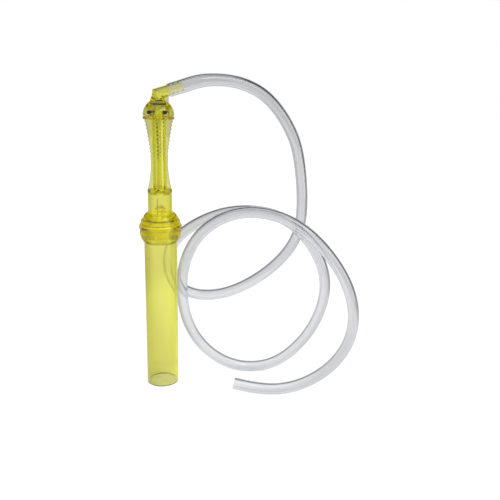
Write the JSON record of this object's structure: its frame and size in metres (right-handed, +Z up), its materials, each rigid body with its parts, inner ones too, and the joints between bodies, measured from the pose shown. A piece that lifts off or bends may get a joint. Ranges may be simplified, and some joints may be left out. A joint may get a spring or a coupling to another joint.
{
  "type": "auto siphon",
  "caption": "Hand-primed brewing siphon: clear barrel, sliding pump tube in a screwed gland, finned grip, swivelling barbed outlet and a looped clear hose.",
  "frame": {"origin": "on the barrel's axis, on the surface that the barrel stands on", "axes": "+Z up the barrel from its open foot, +X the way the outlet arm points, +Y to the back"},
  "size_m": [0.2678, 0.0944, 0.3811],
  "materials": {
    "clear_yellow": "moulded clear",
    "deep_yellow": "moulded clear",
    "black_rubber": "matt",
    "silicone": "satin",
    "vinyl": "extruded clear"
  },
  "bodies": {
    "head": {"outlet_head": "clear_yellow", "swivel_pin_left": "black_rubber", "swivel_pin_right": "black_rubber", "hose": "vinyl"},
    "grip": {"grip_handle": "clear_yellow", "pump_tube": "clear_yellow", "stop_ring": "deep_yellow", "inlet_seat": "deep_yellow", "head_o_ring": "silicone"},
    "barrel": {"intake_tube": "clear_yellow", "barrel_collar": "deep_yellow", "gland_seal": "silicone"},
    "thrust": {"thrust_ring": "deep_yellow"},
    "nut": {"gland_nut": "deep_yellow"},
    "poppet": {"inlet_poppet": "deep_yellow", "inlet_washer": "silicone"},
    "disc": {"outlet_disc": "black_rubber"}
  },
  "joints": [
    {"name": "head_swivel", "type": "hinge", "parent": "head", "child": "grip", "pos_m": [0, 0, 0.34], "axis": [0, 0, 1], "continuous": true},
    {"name": "pump_stroke", "type": "slide", "parent": "grip", "child": "barrel", "axis": [0, 0, 1], "range_m": [0, 0.022]},
    {"name": "nut_lift", "type": "slide", "parent": "barrel", "child": "thrust", "axis": [0, 0, 1], "range_m": [0, 0.0016]},
    {"name": "nut_turn", "type": "hinge", "parent": "thrust", "child": "nut", "pos_m": [0, 0, 0.212], "axis": [0, 0, 1], "range_deg": [0, 180]},
    {"name": "inlet_lift", "type": "slide", "parent": "grip", "child": "poppet", "axis": [0, 0, 1], "range_m": [0, 0.004]},
    {"name": "outlet_lift", "type": "slide", "parent": "grip", "child": "disc", "axis": [0, 0, 1], "range_m": [0, 0.0015]}
  ],
  "couplings": [
    {"joint": "nut_lift", "follows": "nut_turn", "m_per_rad": 0.00047746}
  ]
}
